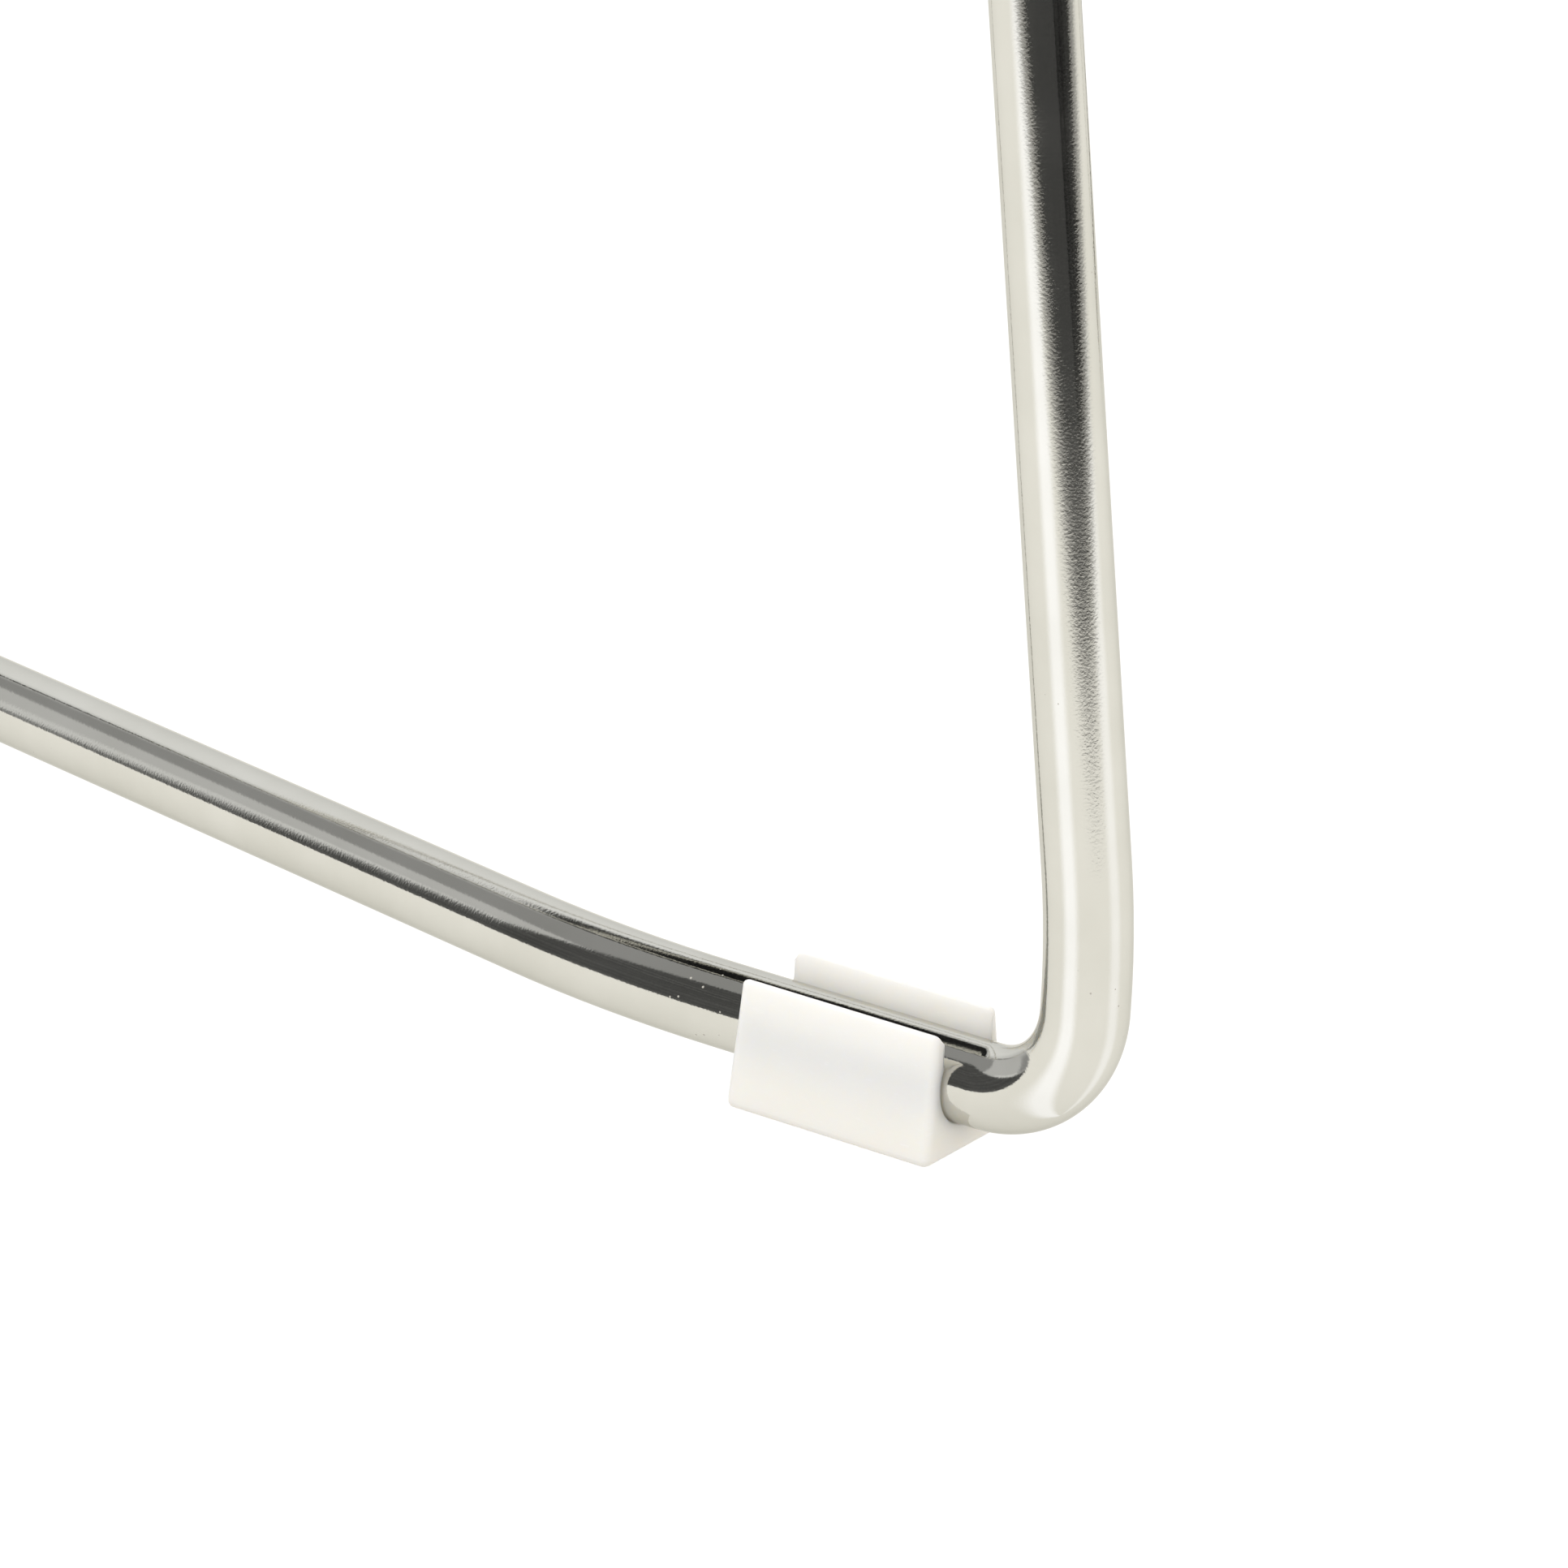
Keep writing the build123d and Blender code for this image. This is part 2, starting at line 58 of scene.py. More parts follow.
# ---- the side frame's path, metres, left side, front half (+X right, -Y front) ----
ROD_RADIUS = 0.005
ROD_AXIS_HEIGHT = 0.00842
CORNER = Vector((-0.217, -0.201, ROD_AXIS_HEIGHT))
TOP = Vector((-0.1771, -0.0337, 0.950))
WELD_HEIGHT = 0.300
FOOT_RUN_ANGLE = math.radians(10.65)
FOOT_RUN_LENGTH = 0.0640
ANKLE_LENGTH = 0.0206
ANKLE_LEAN_ALONG = math.radians(0.85)
ANKLE_LEAN_INWARD = math.radians(4.32)
CORNER_RADIUS = 0.01175
ANKLE_RADIUS = 0.1067
KICK_RADIUS = 0.170
TOP_RADIUS = 0.022
ALONG = Vector((-math.sin(FOOT_RUN_ANGLE), math.cos(FOOT_RUN_ANGLE), 0))
INWARD = Vector((math.cos(FOOT_RUN_ANGLE), math.sin(FOOT_RUN_ANGLE), 0))
TUBE_SIDES = 96
ARC_STEP = math.radians(1.5)

# ---- foot clip, metres ----
CLIP_START = 0.01467
CLIP_LENGTH = 0.02775
CLIP_HALF_BOTTOM = 0.0078
CLIP_HALF_TOP = 0.005925
CLIP_RISE = 0.0067
CLIP_MOUTH_HALF = 0.0050
CLIP_LIP_HEIGHT = 0.0026
CLIP_BORE = 0.0051
CLIP_SIDE_ROUND = 0.0010
CLIP_TOP_ROUND = 0.0009
CLIP_SOLE_ROUND = 0.0008
CLIP_BORE_ROUND = 0.0003
CLIP_SOLE_CORNER = 0.0008
CLIP_TOP_CORNER = 0.0004
CLIP_MOUTH_CORNER = 0.0003
CLIP_LIP_CORNER = 0.0002
CLIP_LIP_LEAD = 0.0003
CLIP_LEAST_WALL = 0.0003
CLIP_BORE_STEPS = 24
# most of a side that one rounded corner may take
CORNER_SHARE = 0.45
# lean of the two ends along the foot run: each end's slope and the height it turns about
CLIP_NEAR_DRAFT = 0.020
CLIP_FAR_DRAFT = 0.032
CLIP_FAR_PIVOT = 0.001
# distances from an end at which the rounded end has a section
CLIP_END_STEPS = [0.0, 0.00004, 0.00015, 0.00035, 0.0006, 0.0009, 0.0012, 0.0016, 0.003]

MIRROR_X = Matrix.Scale(-1, 4, (1, 0, 0))
MIRROR_Y = Matrix.Scale(-1, 4, (0, 1, 0))


# ---- node helpers ----
def new_material(name):
    material = bpy.data.materials.new(name)
    material.use_nodes = True
    tree = material.node_tree
    shader = tree.nodes["Principled BSDF"]
    return material, tree, shader


def add(tree, kind, **values):
    """A node of this kind; keyword values set its properties or, failing that, its inputs."""
    node = tree.nodes.new(kind)
    for key, value in values.items():
        if hasattr(node, key):
            setattr(node, key, value)
        else:
            node.inputs[key.replace("_", " ")].default_value = value
    return node


def stretched_coordinates(tree, scale):
    """Object coordinates scaled by (x, y, z)."""
    place = add(tree, "ShaderNodeTexCoord")
    mapping = add(tree, "ShaderNodeMapping")
    mapping.inputs["Scale"].default_value = scale
    tree.links.new(place.outputs["Object"], mapping.inputs["Vector"])
    return mapping.outputs["Vector"]


def noise_texture(tree, vector, scale, detail=4.0, roughness=0.5):
    texture = add(tree, "ShaderNodeTexNoise", Scale=scale, Detail=detail, Roughness=roughness)
    tree.links.new(vector, texture.inputs["Vector"])
    return texture.outputs["Fac"]


def ramp(tree, factor, stops):
    """Colour ramp with (position, colour) stops; a number stands for a grey."""
    node = add(tree, "ShaderNodeValToRGB")
    elements = node.color_ramp.elements
    while len(elements) < len(stops):
        elements.new(0.5)
    for element, (position, colour) in zip(elements, stops):
        element.position = position
        grey = isinstance(colour, (int, float))
        element.color = (colour, colour, colour, 1) if grey else (*colour, 1)
    tree.links.new(factor, node.inputs["Fac"])
    return node.outputs["Color"]


def bump(tree, height, strength, distance, below=None):
    """Bump normal of a height; below is another bump that this one lies on."""
    node = add(tree, "ShaderNodeBump", Strength=strength, Distance=distance)
    tree.links.new(height, node.inputs["Height"])
    if below is not None:
        tree.links.new(below, node.inputs["Normal"])
    return node.outputs["Normal"]


def mixed(tree, factor, first, second):
    """Colour mix; each value is a socket, or a number or colour of its own."""
    node = add(tree, "ShaderNodeMix", data_type="RGBA")
    sockets = {socket.name: socket for socket in node.inputs if socket.enabled}
    for value, socket in ((factor, sockets["Factor"]), (first, sockets["A"]), (second, sockets["B"])):
        if isinstance(value, float):
            socket.default_value = value
        elif isinstance(value, tuple):
            socket.default_value = (*value, 1)
        else:
            tree.links.new(value, socket)
    return [socket for socket in node.outputs if socket.enabled][0]


def math_node(tree, operation, first, second=None):
    """Result of a maths operation on sockets or numbers."""
    node = add(tree, "ShaderNodeMath", operation=operation)
    for value, socket in ((first, node.inputs[0]), (second, node.inputs[1])):
        if value is None:
            continue
        if isinstance(value, (int, float)):
            socket.default_value = value
        else:
            tree.links.new(value, socket)
    return node.outputs[0]


# ---- materials ----
def chrome_material():
    """Bright nickel-chrome plate: fine grain, sparse dull dust specks, faint polishing haze."""
    material, tree, shader = new_material("chrome_plate")
    plain = stretched_coordinates(tree, (1, 1, 1))
    haze = noise_texture(tree, plain, 90, 6)
    specks = add(tree, "ShaderNodeTexVoronoi", Scale=700.0)
    tree.links.new(plain, specks.inputs["Vector"])
    rare = ramp(tree, noise_texture(tree, plain, 75, 2), [(0.54, 0.0), (0.72, 0.10)])
    near = math_node(tree, "LESS_THAN", specks.outputs["Distance"], rare)
    tint = ramp(tree, haze, [(0.35, (0.630, 0.625, 0.580)), (0.65, (0.665, 0.660, 0.618))])
    tree.links.new(mixed(tree, near, tint, (0.50, 0.49, 0.45)), shader.inputs["Base Color"])
    gloss = ramp(tree, haze, [(0.30, 0.055), (0.75, 0.100)])
    tree.links.new(gloss, shader.inputs["Roughness"])
    tree.links.new(math_node(tree, "SUBTRACT", 1.0, near), shader.inputs["Metallic"])
    shader.inputs["Specular Tint"].default_value = (0.74, 0.74, 0.72, 1)
    surface = bump(tree, noise_texture(tree, plain, 3200, 2), 0.10, 0.00006)
    surface = bump(tree, near, 0.2, 0.00003, surface)
    tree.links.new(surface, shader.inputs["Normal"])
    return material


def nylon_material():
    """Milky translucent nylon, a little warmer where it is thick, with faint scuffs."""
    material, tree, shader = new_material("milky_nylon")
    plain = stretched_coordinates(tree, (1, 1, 1))
    cloud = noise_texture(tree, plain, 70, 3)
    colour = ramp(tree, cloud, [(0.3, (0.925, 0.908, 0.872)), (0.7, (0.945, 0.932, 0.902))])
    scuffs = noise_texture(tree, stretched_coordinates(tree, (500, 500, 3200)), 1.0, 5, 0.7)
    scuffs = ramp(tree, scuffs, [(0.60, 0.0), (0.74, 1.0)])
    colour = mixed(tree, scuffs, colour, (0.972, 0.966, 0.950))
    tree.links.new(colour, shader.inputs["Base Color"])
    tree.links.new(ramp(tree, scuffs, [(0.0, 0.34), (1.0, 0.52)]), shader.inputs["Roughness"])
    shader.inputs["IOR"].default_value = 1.53
    shader.inputs["Subsurface Weight"].default_value = 0.9
    shader.inputs["Subsurface Radius"].default_value = (1.0, 0.90, 0.74)
    shader.inputs["Subsurface Scale"].default_value = 0.0035
    surface = bump(tree, noise_texture(tree, plain, 900, 4), 0.12, 0.00012)
    tree.links.new(surface, shader.inputs["Normal"])
    return material


def wood_material(name, grain_axis):
    """Oiled walnut-toned beech; the grain runs along grain_axis (0, 1 or 2)."""
    material, tree, shader = new_material(name)
    scale = [14.0, 14.0, 14.0]
    scale[grain_axis] = 0.9
    grain_place = stretched_coordinates(tree, scale)
    warp = noise_texture(tree, grain_place, 1.6, 3)
    rings = add(tree, "ShaderNodeTexWave", Scale=1.7, Distortion=7.0, Detail=3.0)
    rings.bands_direction = "Y" if grain_axis == 0 else "X"
    tree.links.new(grain_place, rings.inputs["Vector"])
    base = ramp(tree, rings.outputs["Fac"],
                [(0.0, (0.165, 0.082, 0.038)), (1.0, (0.340, 0.185, 0.090))])
    broad = ramp(tree, warp, [(0.3, (0.150, 0.074, 0.034)), (0.75, (0.380, 0.212, 0.106))])
    colour = mixed(tree, 0.45, base, broad)
    pore_scale = [900.0, 900.0, 900.0]
    pore_scale[grain_axis] = 35.0
    pores = noise_texture(tree, stretched_coordinates(tree, pore_scale), 1.0, 3, 0.6)
    pores = ramp(tree, pores, [(0.56, 0.0), (0.66, 1.0)])
    colour = mixed(tree, pores, colour, (0.120, 0.060, 0.030))
    tree.links.new(colour, shader.inputs["Base Color"])
    gloss = ramp(tree, warp, [(0.3, 0.34), (0.7, 0.46)])
    tree.links.new(gloss, shader.inputs["Roughness"])
    shader.inputs["Coat Weight"].default_value = 0.25
    shader.inputs["Coat Roughness"].default_value = 0.22
    tree.links.new(bump(tree, pores, -0.35, 0.0001), shader.inputs["Normal"])
    return material


def felt_material():
    """Dense charcoal wool felt with mottled fibres."""
    material, tree, shader = new_material("wool_felt")
    plain = stretched_coordinates(tree, (1, 1, 1))
    fibres = noise_texture(tree, plain, 1300, 6, 0.75)
    mottle = noise_texture(tree, plain, 120, 4)
    colour = ramp(tree, fibres, [(0.35, (0.035, 0.037, 0.043)), (0.7, (0.115, 0.120, 0.130))])
    shade = ramp(tree, mottle, [(0.3, (0.050, 0.052, 0.060)), (0.7, (0.085, 0.088, 0.096))])
    tree.links.new(mixed(tree, 0.4, colour, shade), shader.inputs["Base Color"])
    shader.inputs["Roughness"].default_value = 0.95
    shader.inputs["Sheen Weight"].default_value = 0.35
    shader.inputs["Sheen Roughness"].default_value = 0.5
    tree.links.new(bump(tree, fibres, 0.6, 0.0004), shader.inputs["Normal"])
    return material


def rubber_material():
    """Matt black rubber with a dusty bloom."""
    material, tree, shader = new_material("matt_rubber")
    plain = stretched_coordinates(tree, (1, 1, 1))
    bloom = noise_texture(tree, plain, 55, 5)
    colour = ramp(tree, bloom, [(0.3, (0.016, 0.016, 0.018)), (0.75, (0.040, 0.039, 0.040))])
    tree.links.new(colour, shader.inputs["Base Color"])
    tree.links.new(ramp(tree, bloom, [(0.3, 0.55), (0.7, 0.72)]), shader.inputs["Roughness"])
    surface = bump(tree, noise_texture(tree, plain, 1600, 3), 0.3, 0.0001)
    tree.links.new(surface, shader.inputs["Normal"])
    return material


def metal_material(name, low, high, gloss):
    """Turned or plated metal with fine tool lines round the X axis."""
    material, tree, shader = new_material(name)
    lines = noise_texture(tree, stretched_coordinates(tree, (6000, 300, 300)), 1.0, 3)
    tree.links.new(ramp(tree, lines, [(0.3, low), (0.7, high)]), shader.inputs["Base Color"])
    tree.links.new(ramp(tree, lines, [(0.3, gloss), (0.7, gloss + 0.1)]), shader.inputs["Roughness"])
    shader.inputs["Metallic"].default_value = 1.0
    tree.links.new(bump(tree, lines, 0.15, 0.00005), shader.inputs["Normal"])
    return material


MATERIALS = {
    "chrome": chrome_material(),
    "nylon": nylon_material(),
    "wood": wood_material("oiled_wood_lengthwise", 0),
    "wood_across": wood_material("oiled_wood_across", 1),
    "felt": felt_material(),
    "sleeve": rubber_material(),
    "brass": metal_material("turned_brass", (0.62, 0.43, 0.17), (0.78, 0.58, 0.27), 0.22),
    "screw_steel": metal_material("zinc_steel", (0.50, 0.50, 0.49), (0.66, 0.66, 0.64), 0.20),
}


# ---- mesh helpers ----
SHARP_ANGLE = 40
ROUNDING_SEGMENTS = 3
SAME_POINT = 1e-6
SEAM_GAP = 1e-7
LEAST_ARC_STEPS = 2


def add_piece(name, verts, faces, material, body, replaced=(), smooth_angle=SHARP_ANGLE):
    mesh = bpy.data.meshes.new(name)
    mesh.from_pydata([tuple(v) for v in verts], [], faces)
    mesh.materials.append(MATERIALS[material])
    return place_mesh(name, mesh, body, replaced, smooth_angle)


def place_mesh(name, mesh, body, replaced=(), smooth_angle=SHARP_ANGLE):
    """A finished mesh as a piece on a body, smooth but for its sharp edges."""
    shape = bmesh.new()
    shape.from_mesh(mesh)
    bmesh.ops.recalc_face_normals(shape, faces=shape.faces)
    shape.to_mesh(mesh)
    shape.free()
    mesh.shade_smooth()
    mesh.set_sharp_from_angle(angle=math.radians(smooth_angle))
    piece = bpy.data.objects.new(name, mesh)
    bpy.context.collection.objects.link(piece)
    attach(piece, body)
    if replaced:
        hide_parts(*replaced)
    return piece


def mirrored(points, matrices):
    for matrix in matrices:
        points = [matrix @ p for p in points]
    return points


def arc_points(before, corner, after, radius):
    """Points of the arc of this radius that rounds a corner of a path, ends included."""
    back = (before - corner).normalized()
    ahead = (after - corner).normalized()
    turn = math.pi - back.angle(ahead)
    tangent = radius * math.tan(turn / 2)
    start = corner + back * tangent
    centre = corner + (back + ahead).normalized() * (radius / math.cos(turn / 2))
    axis = back.cross(ahead).normalized()
    steps = max(LEAST_ARC_STEPS, math.ceil(turn / ARC_STEP))
    arm = start - centre
    return [centre + Matrix.Rotation(-turn * i / steps, 3, axis) @ arm for i in range(steps + 1)]


def bent_path(corners, radii):
    """Path through corners whose inner ones are rounded with the given radii."""
    path = [corners[0]]
    for before, corner, after, radius in zip(corners, corners[1:], corners[2:], radii):
        path += arc_points(before, corner, after, radius)
    return path + [corners[-1]]


def tube(path, radius, sides=TUBE_SIDES):
    """Closed tube along a path: rings carried without twist, flat ends."""
    verts, faces = [], []
    tangent = (path[1] - path[0]).normalized()
    side = tangent.orthogonal().normalized()
    for i, point in enumerate(path):
        ahead = path[min(i + 1, len(path) - 1)] - path[max(i - 1, 0)]
        fresh = ahead.normalized()
        side = (tangent.rotation_difference(fresh) @ side).normalized()
        tangent = fresh
        other = tangent.cross(side)
        for k in range(sides):
            angle = 2 * math.pi * k / sides
            verts.append(point + (side * math.cos(angle) + other * math.sin(angle)) * radius)
    for i in range(len(path) - 1):
        for k in range(sides):
            first, second = i * sides + k, i * sides + (k + 1) % sides
            faces.append((first, second, second + sides, first + sides))
    faces.append(tuple(range(sides)))
    faces.append(tuple(range(len(verts) - sides, len(verts))))
    return verts, faces


def loft(sections, capped=True):
    """Skin over closed sections that have the same number of points."""
    count = len(sections[0])
    verts = [p for section in sections for p in section]
    faces = []
    for i in range(len(sections) - 1):
        for k in range(count):
            first, second = i * count + k, i * count + (k + 1) % count
            faces.append((first, second, second + count, first + count))
    if capped:
        faces.append(tuple(range(count)))
        faces.append(tuple(range(len(verts) - count, len(verts))))
    return verts, faces


def softened(node, width, material, body):
    """A CAD node's shape with its sharp edges rounded by width."""
    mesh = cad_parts[node].data.copy()
    mesh.name = node + "_shape"
    mesh.materials.clear()
    mesh.materials.append(MATERIALS[material])
    shape = bmesh.new()
    shape.from_mesh(mesh)
    bmesh.ops.remove_doubles(shape, verts=shape.verts, dist=SAME_POINT)
    limit = math.radians(SHARP_ANGLE)
    edges = [e for e in shape.edges if len(e.link_faces) == 2 and e.calc_face_angle(0) > limit]
    bmesh.ops.bevel(shape, geom=edges, offset=width, segments=ROUNDING_SEGMENTS, profile=0.5,
                    affect="EDGES", clamp_overlap=True)
    shape.to_mesh(mesh)
    shape.free()
    return place_mesh("soft_" + node, mesh, body, [node])


# ---- the bent side frames ----
def path_corners():
    """Corners of the gentle bend in the floor bar and of the slight bend above the foot."""
    kick = CORNER + ALONG * FOOT_RUN_LENGTH
    lean = ALONG * math.tan(ANKLE_LEAN_ALONG) + INWARD * math.tan(ANKLE_LEAN_INWARD)
    ankle = CORNER + (Vector((0, 0, 1)) + lean).normalized() * ANKLE_LENGTH
    return kick, ankle


def leg_point(height):
    """Point of the straight leg's axis at a height."""
    _, ankle = path_corners()
    return ankle + (TOP - ankle) * ((height - ankle.z) / (TOP.z - ankle.z))


def rear(point):
    return Vector((point.x, -point.y, point.z))


def lower_path():
    kick, ankle = path_corners()
    front = [leg_point(WELD_HEIGHT), ankle, CORNER, kick]
    bends = [ANKLE_RADIUS, CORNER_RADIUS, KICK_RADIUS]
    return bent_path(front + [rear(p) for p in reversed(front)], bends + bends[::-1])


def upper_path():
    weld = leg_point(WELD_HEIGHT)
    return bent_path([weld, TOP, rear(TOP), rear(weld)], [TOP_RADIUS, TOP_RADIUS])


def build_side_frames():
    for side, matrices in (("left", []), ("right", [MIRROR_X])):
        for level, path in (("lower", lower_path()), ("upper", upper_path())):
            verts, faces = tube(mirrored(path, matrices), ROD_RADIUS)
            add_piece(f"{level}_bar_{side}", verts, faces, "chrome", "frame",
                      [f"{level}_frame_{side}"])


# ---- foot clips ----
def rounded_outline(corners):
    """Outline from (x, z, radius) corners, each rounded by a short curve of four points."""
    outline = []
    count = len(corners)
    for i, (x, z, radius) in enumerate(corners):
        here = Vector((x, z))
        before = Vector(corners[i - 1][:2]) - here
        after = Vector(corners[(i + 1) % count][:2]) - here
        if radius == 0:
            outline.append(here)
            continue
        half = before.angle(after) / 2
        longest = CORNER_SHARE * min(before.length, after.length)
        reach = min(radius / math.tan(half), longest)
        start = here + before.normalized() * reach
        end = here + after.normalized() * reach
        for t in (0.0, 1 / 3, 2 / 3, 1.0):
            outline.append(start.lerp(here, t).lerp(here.lerp(end, t), t))
    return outline


def clip_section(side_inset, top_inset, sole_inset, flare):
    """Outline of the clip across the bar: drafted walls, flared mouth, lips and bore."""
    bore = CLIP_BORE + flare
    lip = math.sqrt(bore ** 2 - CLIP_LIP_HEIGHT ** 2)
    low = -ROD_AXIS_HEIGHT + sole_inset
    high = CLIP_RISE - top_inset
    mouth = min(CLIP_MOUTH_HALF, CLIP_HALF_TOP - side_inset - CLIP_LEAST_WALL)
    right = [(CLIP_HALF_BOTTOM - side_inset, low, CLIP_SOLE_CORNER),
             (CLIP_HALF_TOP - side_inset, high, CLIP_TOP_CORNER),
             (mouth, high, CLIP_MOUTH_CORNER),
             (lip, CLIP_LIP_HEIGHT + CLIP_LIP_LEAD, CLIP_LIP_CORNER)]
    outline = rounded_outline([(0, low, 0)] + right + [(lip, CLIP_LIP_HEIGHT, 0)])
    first = math.asin(CLIP_LIP_HEIGHT / bore)
    for i in range(1, CLIP_BORE_STEPS + 1):
        angle = first - (first + math.pi / 2) * i / CLIP_BORE_STEPS
        outline.append(Vector((bore * math.cos(angle), bore * math.sin(angle))))
    left = [Vector((-p.x, p.y)) for p in reversed(outline[1:-1])]
    return outline + left


def quarter_round(distance, radius):
    """How far a surface draws in at a distance from the end that a quarter circle rounds."""
    if distance >= radius:
        return 0.0
    return radius - math.sqrt(radius ** 2 - (radius - distance) ** 2)


def build_clip(name, matrices, node):
    """Clip lofted along the foot run, its section drawn in where the ends are rounded."""
    far_ends = [CLIP_LENGTH - d for d in reversed(CLIP_END_STEPS)]
    places = CLIP_END_STEPS + [CLIP_LENGTH / 2] + far_ends
    sections = []
    for place in places:
        distance = min(place, CLIP_LENGTH - place)
        section = clip_section(
            quarter_round(distance, CLIP_SIDE_ROUND), quarter_round(distance, CLIP_TOP_ROUND),
            quarter_round(distance, CLIP_SOLE_ROUND), quarter_round(distance, CLIP_BORE_ROUND))
        origin = CORNER + ALONG * (CLIP_START + place)
        share = place / CLIP_LENGTH
        points = []
        for p in section:
            lean = (1 - share) * CLIP_NEAR_DRAFT * (p.y + ROD_AXIS_HEIGHT)
            lean -= share * CLIP_FAR_DRAFT * (p.y + CLIP_FAR_PIVOT)
            points.append(origin - INWARD * p.x + ALONG * lean + Vector((0, 0, p.y)))
        sections.append(mirrored(points, matrices))
    verts, faces = loft(sections)
    add_piece(name, verts, faces, "nylon", "frame", [node], smooth_angle=50)


def build_clips():
    for side, across in (("left", []), ("right", [MIRROR_X])):
        for end, along in (("front", []), ("rear", [MIRROR_Y])):
            build_clip(f"glide_{side}_{end}", across + along, f"foot_clip_{side}_{end}")


# ---- straps, rods, screws and small turned pieces ----
STRAP_EDGE = 0.0007
ARM_EDGE = 0.0006
BUSH_EDGE = 0.0003
COLLAR_EDGE = 0.0004
PLAIN_CHROME = ("upper_crossbar", "tray_rod", "shoe_rod", "hanger_pin")
WELD_RADIUS = 0.0011
WELD_SIDES = 16
WELD_STEPS = 8
WELD_END_GAP = 0.04
WELD_PROUD = 0.3
WELD_RIPPLE = 0.0001
WELD_RIPPLE_STEP = 2.4


def restyle(node, material):
    """Another material on a CAD node that keeps its mesh."""
    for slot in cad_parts[node].material_slots:
        slot.material = MATERIALS[material]


def build_small_metal():
    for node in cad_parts:
        if node.endswith(("_strap_left", "_strap_right")):
            softened(node, STRAP_EDGE, "chrome", "frame")
        elif node.startswith("rail_arm"):
            softened(node, ARM_EDGE, "chrome", "trouser_rail")
        elif node.startswith("rail_bush"):
            softened(node, BUSH_EDGE, "nylon", "trouser_rail")
        elif node.startswith("rail_collar"):
            softened(node, COLLAR_EDGE, "chrome", "frame")
        elif node.endswith("_screws"):
            restyle(node, "screw_steel")
        elif node.startswith("hanger_sleeve"):
            restyle(node, "brass")
        elif node == "trouser_bar" or node.startswith(PLAIN_CHROME):
            restyle(node, "chrome")


def bead_path(low, high, face):
    """Slightly uneven line up the corner between one strap face and the front left leg."""
    thickness = high[0] - low[0]
    strap_x = (low[0] + high[0]) / 2 + face * (thickness / 2 + WELD_PROUD * WELD_RADIUS)
    path = []
    for i in range(WELD_STEPS + 1):
        share = WELD_END_GAP + (1 - 2 * WELD_END_GAP) * i / WELD_STEPS
        height = low[2] + (high[2] - low[2]) * share
        leg = leg_point(height)
        reach = math.sqrt(max(ROD_RADIUS ** 2 - (strap_x - leg.x) ** 2, 0))
        ripple = WELD_RIPPLE * math.sin(WELD_RIPPLE_STEP * i)
        path.append(Vector((strap_x, leg.y + reach + WELD_PROUD * WELD_RADIUS + ripple, height)))
    return path


def build_weld_beads():
    """Small polished weld beads where each strap's end meets a leg, on both strap faces."""
    for level in ("upper", "tray", "shoe"):
        low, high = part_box(f"{level}_strap_left")
        for side, across in (("left", []), ("right", [MIRROR_X])):
            verts, faces = [], []
            for face in (-1, 1):
                for along in ([], [MIRROR_Y]):
                    path = mirrored(bead_path(low, high, face), across + along)
                    ring, skin = tube(path, WELD_RADIUS, WELD_SIDES)
                    faces += [tuple(index + len(verts) for index in f) for f in skin]
                    verts += ring
            add_piece(f"weld_beads_{level}_{side}", verts, faces, "chrome", "frame")


# ---- trouser bar sleeve ----
SLEEVE_BORE_RADIUS = 0.00605
SLEEVE_EDGE = 0.0006
SLEEVE_PLAIN_ENDS = 0.012
SLEEVE_SIDES = 64
RIB_PITCH = 0.0045
RIB_DEPTH = 0.0004
# one rib along the sleeve: (share of the pitch, 1 where the groove is)
RIB_SHAPE = ((0.0, 0), (0.2, 0), (0.35, 1), (0.75, 1), (0.9, 0))


def sleeve_profile(low, high, outer):
    """Half outline of the sleeve as (x, radius), from bore edge to bore edge."""
    length = high - low
    ribs = round((length - SLEEVE_PLAIN_ENDS) / RIB_PITCH)
    start = low + (length - ribs * RIB_PITCH) / 2
    profile = [(low, SLEEVE_BORE_RADIUS), (low, outer - SLEEVE_EDGE), (low + SLEEVE_EDGE, outer)]
    for i in range(ribs):
        x = start + i * RIB_PITCH
        profile += [(x + share * RIB_PITCH, outer - groove * RIB_DEPTH)
                    for share, groove in RIB_SHAPE]
    profile += [(high - SLEEVE_EDGE, outer), (high, outer - SLEEVE_EDGE), (high, SLEEVE_BORE_RADIUS)]
    return profile


def build_sleeve():
    """Grooved rubber sleeve turned round the trouser bar."""
    low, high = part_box("trouser_bar_sleeve")
    centre_y, centre_z = (low[1] + high[1]) / 2, (low[2] + high[2]) / 2
    profile = sleeve_profile(low[0], high[0], (high[2] - low[2]) / 2)
    rings = []
    for k in range(SLEEVE_SIDES):
        angle = 2 * math.pi * k / SLEEVE_SIDES
        rings.append([Vector((x, centre_y + r * math.cos(angle), centre_z + r * math.sin(angle)))
                      for x, r in profile])
    rings.append(rings[0])
    verts, faces = loft(rings, capped=False)
    piece = add_piece("ribbed_sleeve", verts, faces, "sleeve", "trouser_rail",
                      ["trouser_bar_sleeve"], smooth_angle=35)
    weld_seam(piece)


def weld_seam(piece):
    """Joins the first and last line of a turned skin."""
    shape = bmesh.new()
    shape.from_mesh(piece.data)
    bmesh.ops.remove_doubles(shape, verts=shape.verts, dist=SEAM_GAP)
    bmesh.ops.recalc_face_normals(shape, faces=shape.faces)
    shape.to_mesh(piece.data)
    shape.free()


